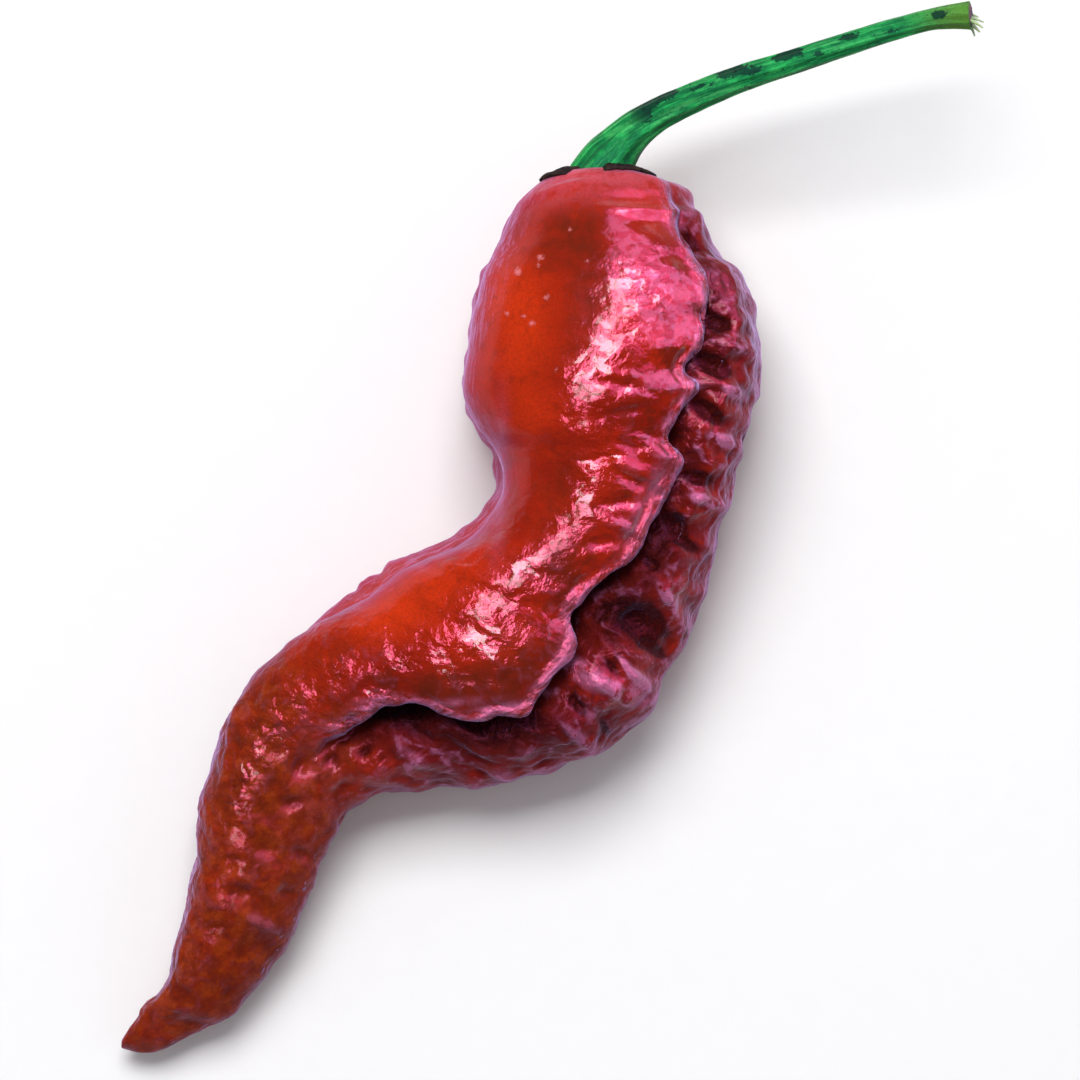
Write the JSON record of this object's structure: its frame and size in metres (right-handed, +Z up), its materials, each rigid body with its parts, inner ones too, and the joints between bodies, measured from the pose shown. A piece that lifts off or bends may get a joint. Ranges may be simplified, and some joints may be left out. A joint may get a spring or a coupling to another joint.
{
  "type": "chilli pepper",
  "caption": "Long wrinkled red chilli pepper, freshly picked, bent in an S along its length, with a deep lengthwise furrow, a dark dried calyx and a curved green stem with a torn end.",
  "frame": {"origin": "on the surface the pepper rests on, under the middle of its bounding box", "axes": "+Z up from the surface, +Y towards the stem end, +X towards the side that the stem points to"},
  "size_m": [0.0735, 0.0895, 0.0214],
  "materials": {
    "pod": "waxy gloss",
    "calyx": "dry matt",
    "stem": "satin"
  },
  "bodies": {
    "root": {"pod": "pod", "calyx": "calyx", "stem": "stem"}
  },
  "joints": []
}
